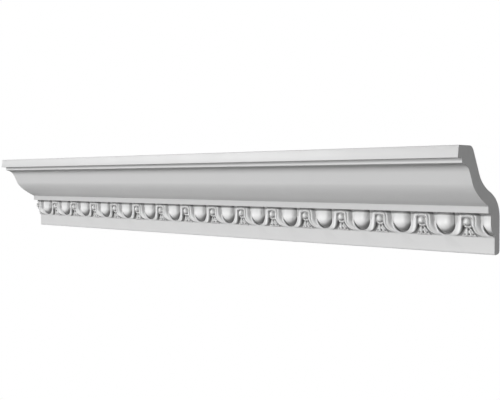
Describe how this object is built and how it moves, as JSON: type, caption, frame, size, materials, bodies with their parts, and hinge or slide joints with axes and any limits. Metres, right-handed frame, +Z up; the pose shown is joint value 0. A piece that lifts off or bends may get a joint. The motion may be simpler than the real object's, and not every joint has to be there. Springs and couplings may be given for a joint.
{
  "type": "cornice moulding",
  "caption": "Cornice moulding for the angle of wall and ceiling: fascia, cyma and fillet over an egg-and-dart course and a plain band, hollow behind, ends cut square.",
  "frame": {"origin": "middle of the flat face that bears on the wall", "axes": "+X along the moulding, +Y into the wall, +Z up to the ceiling"},
  "size_m": [0.9998, 0.1, 0.13],
  "materials": {
    "primed_foam": "smooth factory-primed white, satin matt"
  },
  "bodies": {
    "root": {"cornice_moulding": "primed_foam"}
  },
  "joints": []
}
